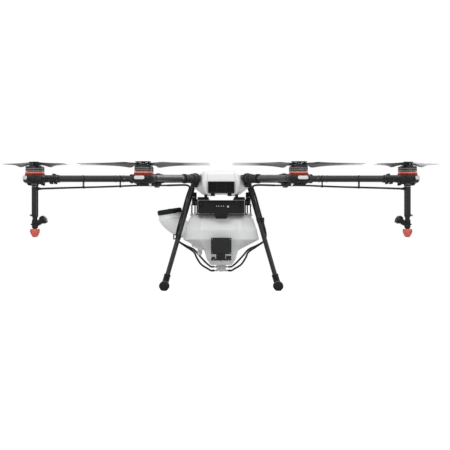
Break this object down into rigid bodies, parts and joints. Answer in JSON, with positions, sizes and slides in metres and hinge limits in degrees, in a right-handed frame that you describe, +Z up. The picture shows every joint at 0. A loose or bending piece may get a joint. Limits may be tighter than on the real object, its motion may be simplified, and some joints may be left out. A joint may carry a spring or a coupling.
{
  "type": "agricultural spray drone",
  "caption": "Folding multi-rotor crop-spraying drone with a white cover, translucent tank with side filler, splayed landing gear and hanging spray nozzles, ready to fly.",
  "frame": {"origin": "on the ground, under the middle of the airframe and of the motors' circle", "axes": "+Z up, -Y towards the nose, where the air grille, battery front and radar are, +X to the right of someone who faces the nose; left and right in names are seen from there"},
  "size_m": [1.6468, 1.6046, 0.4854],
  "materials": {
    "carbon": "woven carbon fibre under satin resin",
    "black_plastic": "fine moulded grain",
    "black_metal": "satin black anodised",
    "motor_metal": "dark grey anodised, satin",
    "orange_metal": "orange-red anodised, satin",
    "white_shell": "light grey-white, semi-gloss",
    "tank_plastic": "translucent white blow-moulded",
    "grey_plastic": "light grey, satin",
    "battery_case": "dark grey, fine grain",
    "circuit_board": "green lacquer",
    "propeller": "dark grey nylon, satin",
    "rubber": "matt",
    "hose": "smooth, satin",
    "spray_orange": "orange-red, satin",
    "lens": "frosted light guide",
    "steel": "zinc-plated screws"
  },
  "bodies": {
    "airframe": {"centre_frame": "carbon", "flight_controller": "black_plastic", "power_board": "circuit_board", "top_shell": "white_shell", "air_grille": "black_plastic", "battery_rack": "black_metal", "spray_tank": "tank_plastic", "delivery_pump_left": "black_plastic", "delivery_pump_right": "black_plastic", "outlet_manifold": "grey_plastic", "radar_module": "black_plastic", "landing_gear_left": "carbon", "landing_gear_right": "carbon"},
    "battery_pack": {"battery": "battery_case"},
    "button": {"power_button": "grey_plastic"},
    "lid": {"filler_lid": "black_plastic"},
    "arm_1": {"frame_arm_1": "carbon", "motor_pod_1": "black_plastic"},
    "arm_2": {"frame_arm_2": "carbon", "motor_pod_2": "black_plastic"},
    "arm_3": {"frame_arm_3": "carbon", "motor_pod_3": "black_plastic", "spray_nozzle_3": "black_plastic"},
    "arm_4": {"frame_arm_4": "carbon", "motor_pod_4": "black_plastic", "spray_nozzle_4": "black_plastic"},
    "arm_5": {"frame_arm_5": "carbon", "motor_pod_5": "black_plastic"},
    "arm_6": {"frame_arm_6": "carbon", "motor_pod_6": "black_plastic"},
    "arm_7": {"frame_arm_7": "carbon", "motor_pod_7": "black_plastic", "spray_nozzle_7": "black_plastic"},
    "arm_8": {"frame_arm_8": "carbon", "motor_pod_8": "black_plastic", "spray_nozzle_8": "black_plastic"},
    "rotor_1": {"motor_bell_1": "motor_metal"},
    "rotor_2": {"motor_bell_2": "motor_metal"},
    "rotor_3": {"motor_bell_3": "motor_metal"},
    "rotor_4": {"motor_bell_4": "motor_metal"},
    "rotor_5": {"motor_bell_5": "motor_metal"},
    "rotor_6": {"motor_bell_6": "motor_metal"},
    "rotor_7": {"motor_bell_7": "motor_metal"},
    "rotor_8": {"motor_bell_8": "motor_metal"},
    "propeller_1a": {"blade_1a": "propeller"},
    "propeller_1b": {"blade_1b": "propeller"},
    "propeller_2a": {"blade_2a": "propeller"},
    "propeller_2b": {"blade_2b": "propeller"},
    "propeller_3a": {"blade_3a": "propeller"},
    "propeller_3b": {"blade_3b": "propeller"},
    "propeller_4a": {"blade_4a": "propeller"},
    "propeller_4b": {"blade_4b": "propeller"},
    "propeller_5a": {"blade_5a": "propeller"},
    "propeller_5b": {"blade_5b": "propeller"},
    "propeller_6a": {"blade_6a": "propeller"},
    "propeller_6b": {"blade_6b": "propeller"},
    "propeller_7a": {"blade_7a": "propeller"},
    "propeller_7b": {"blade_7b": "propeller"},
    "propeller_8a": {"blade_8a": "propeller"},
    "propeller_8b": {"blade_8b": "propeller"}
  },
  "joints": [
    {"name": "arm_fold_1", "type": "hinge", "parent": "airframe", "child": "arm_1", "pos_m": [0.10026, -0.24206, 0.3945], "axis": [0.9239, 0.3827, 0], "range_deg": [0, 85]},
    {"name": "arm_fold_2", "type": "hinge", "parent": "airframe", "child": "arm_2", "pos_m": [-0.10026, -0.24206, 0.3945], "axis": [0.9239, -0.3827, 0], "range_deg": [0, 85]},
    {"name": "arm_fold_3", "type": "hinge", "parent": "airframe", "child": "arm_3", "pos_m": [-0.24206, -0.10026, 0.3945], "axis": [0.3827, -0.9239, 0], "range_deg": [0, 85]},
    {"name": "arm_fold_4", "type": "hinge", "parent": "airframe", "child": "arm_4", "pos_m": [-0.24206, 0.10026, 0.3945], "axis": [-0.3827, -0.9239, 0], "range_deg": [0, 85]},
    {"name": "arm_fold_5", "type": "hinge", "parent": "airframe", "child": "arm_5", "pos_m": [-0.10026, 0.24206, 0.3945], "axis": [-0.9239, -0.3827, 0], "range_deg": [0, 85]},
    {"name": "arm_fold_6", "type": "hinge", "parent": "airframe", "child": "arm_6", "pos_m": [0.10026, 0.24206, 0.3945], "axis": [-0.9239, 0.3827, 0], "range_deg": [0, 85]},
    {"name": "arm_fold_7", "type": "hinge", "parent": "airframe", "child": "arm_7", "pos_m": [0.24206, 0.10026, 0.3945], "axis": [-0.3827, 0.9239, 0], "range_deg": [0, 85]},
    {"name": "arm_fold_8", "type": "hinge", "parent": "airframe", "child": "arm_8", "pos_m": [0.24206, -0.10026, 0.3945], "axis": [0.3827, 0.9239, 0], "range_deg": [0, 85]},
    {"name": "rotor_spin_1", "type": "hinge", "parent": "arm_1", "child": "rotor_1", "pos_m": [0.29084, -0.70215, 0.47], "axis": [0, 0, 1], "continuous": true},
    {"name": "rotor_spin_2", "type": "hinge", "parent": "arm_2", "child": "rotor_2", "pos_m": [-0.29084, -0.70215, 0.47], "axis": [0, 0, 1], "continuous": true},
    {"name": "rotor_spin_3", "type": "hinge", "parent": "arm_3", "child": "rotor_3", "pos_m": [-0.70215, -0.29084, 0.47], "axis": [0, 0, 1], "continuous": true},
    {"name": "rotor_spin_4", "type": "hinge", "parent": "arm_4", "child": "rotor_4", "pos_m": [-0.70215, 0.29084, 0.47], "axis": [0, 0, 1], "continuous": true},
    {"name": "rotor_spin_5", "type": "hinge", "parent": "arm_5", "child": "rotor_5", "pos_m": [-0.29084, 0.70215, 0.47], "axis": [0, 0, 1], "continuous": true},
    {"name": "rotor_spin_6", "type": "hinge", "parent": "arm_6", "child": "rotor_6", "pos_m": [0.29084, 0.70215, 0.47], "axis": [0, 0, 1], "continuous": true},
    {"name": "rotor_spin_7", "type": "hinge", "parent": "arm_7", "child": "rotor_7", "pos_m": [0.70215, 0.29084, 0.47], "axis": [0, 0, 1], "continuous": true},
    {"name": "rotor_spin_8", "type": "hinge", "parent": "arm_8", "child": "rotor_8", "pos_m": [0.70215, -0.29084, 0.47], "axis": [0, 0, 1], "continuous": true},
    {"name": "blade_fold_1a", "type": "hinge", "parent": "rotor_1", "child": "propeller_1a", "pos_m": [0.2703, -0.71003, 0.4773], "axis": [0, 0, -1], "range_deg": [-85, 85]},
    {"name": "blade_fold_1b", "type": "hinge", "parent": "rotor_1", "child": "propeller_1b", "pos_m": [0.31138, -0.69426, 0.4773], "axis": [0, 0, 1], "range_deg": [-85, 85]},
    {"name": "blade_fold_2a", "type": "hinge", "parent": "rotor_2", "child": "propeller_2a", "pos_m": [-0.2703, -0.71003, 0.4773], "axis": [0, 0, 1], "range_deg": [-85, 85]},
    {"name": "blade_fold_2b", "type": "hinge", "parent": "rotor_2", "child": "propeller_2b", "pos_m": [-0.31138, -0.69426, 0.4773], "axis": [0, 0, -1], "range_deg": [-85, 85]},
    {"name": "blade_fold_3a", "type": "hinge", "parent": "rotor_3", "child": "propeller_3a", "pos_m": [-0.71179, -0.27107, 0.4773], "axis": [0, 0, -1], "range_deg": [-85, 85]},
    {"name": "blade_fold_3b", "type": "hinge", "parent": "rotor_3", "child": "propeller_3b", "pos_m": [-0.6925, -0.31061, 0.4773], "axis": [0, 0, 1], "range_deg": [-85, 85]},
    {"name": "blade_fold_4a", "type": "hinge", "parent": "rotor_4", "child": "propeller_4a", "pos_m": [-0.71179, 0.27107, 0.4773], "axis": [0, 0, 1], "range_deg": [-85, 85]},
    {"name": "blade_fold_4b", "type": "hinge", "parent": "rotor_4", "child": "propeller_4b", "pos_m": [-0.6925, 0.31061, 0.4773], "axis": [0, 0, -1], "range_deg": [-85, 85]},
    {"name": "blade_fold_5a", "type": "hinge", "parent": "rotor_5", "child": "propeller_5a", "pos_m": [-0.2703, 0.71003, 0.4773], "axis": [0, 0, -1], "range_deg": [-85, 85]},
    {"name": "blade_fold_5b", "type": "hinge", "parent": "rotor_5", "child": "propeller_5b", "pos_m": [-0.31138, 0.69426, 0.4773], "axis": [0, 0, 1], "range_deg": [-85, 85]},
    {"name": "blade_fold_6a", "type": "hinge", "parent": "rotor_6", "child": "propeller_6a", "pos_m": [0.2703, 0.71003, 0.4773], "axis": [0, 0, 1], "range_deg": [-85, 85]},
    {"name": "blade_fold_6b", "type": "hinge", "parent": "rotor_6", "child": "propeller_6b", "pos_m": [0.31138, 0.69426, 0.4773], "axis": [0, 0, -1], "range_deg": [-85, 85]},
    {"name": "blade_fold_7a", "type": "hinge", "parent": "rotor_7", "child": "propeller_7a", "pos_m": [0.71179, 0.27107, 0.4773], "axis": [0, 0, -1], "range_deg": [-85, 85]},
    {"name": "blade_fold_7b", "type": "hinge", "parent": "rotor_7", "child": "propeller_7b", "pos_m": [0.6925, 0.31061, 0.4773], "axis": [0, 0, 1], "range_deg": [-85, 85]},
    {"name": "blade_fold_8a", "type": "hinge", "parent": "rotor_8", "child": "propeller_8a", "pos_m": [0.71179, -0.27107, 0.4773], "axis": [0, 0, 1], "range_deg": [-85, 85]},
    {"name": "blade_fold_8b", "type": "hinge", "parent": "rotor_8", "child": "propeller_8b", "pos_m": [0.6925, -0.31061, 0.4773], "axis": [0, 0, -1], "range_deg": [-85, 85]},
    {"name": "lid_hinge", "type": "hinge", "parent": "airframe", "child": "lid", "pos_m": [-0.14302, 0, 0.29959], "axis": [0, 1, 0], "range_deg": [0, 85]},
    {"name": "battery_slide", "type": "slide", "parent": "airframe", "child": "battery_pack", "axis": [0, -1, 0], "range_m": [0, 0.165]},
    {"name": "button_press", "type": "slide", "parent": "battery_pack", "child": "button", "axis": [0, 1, 0], "range_m": [0, 0.0012], "stiffness_N_per_m": 400, "springref_m": -0.001}
  ]
}
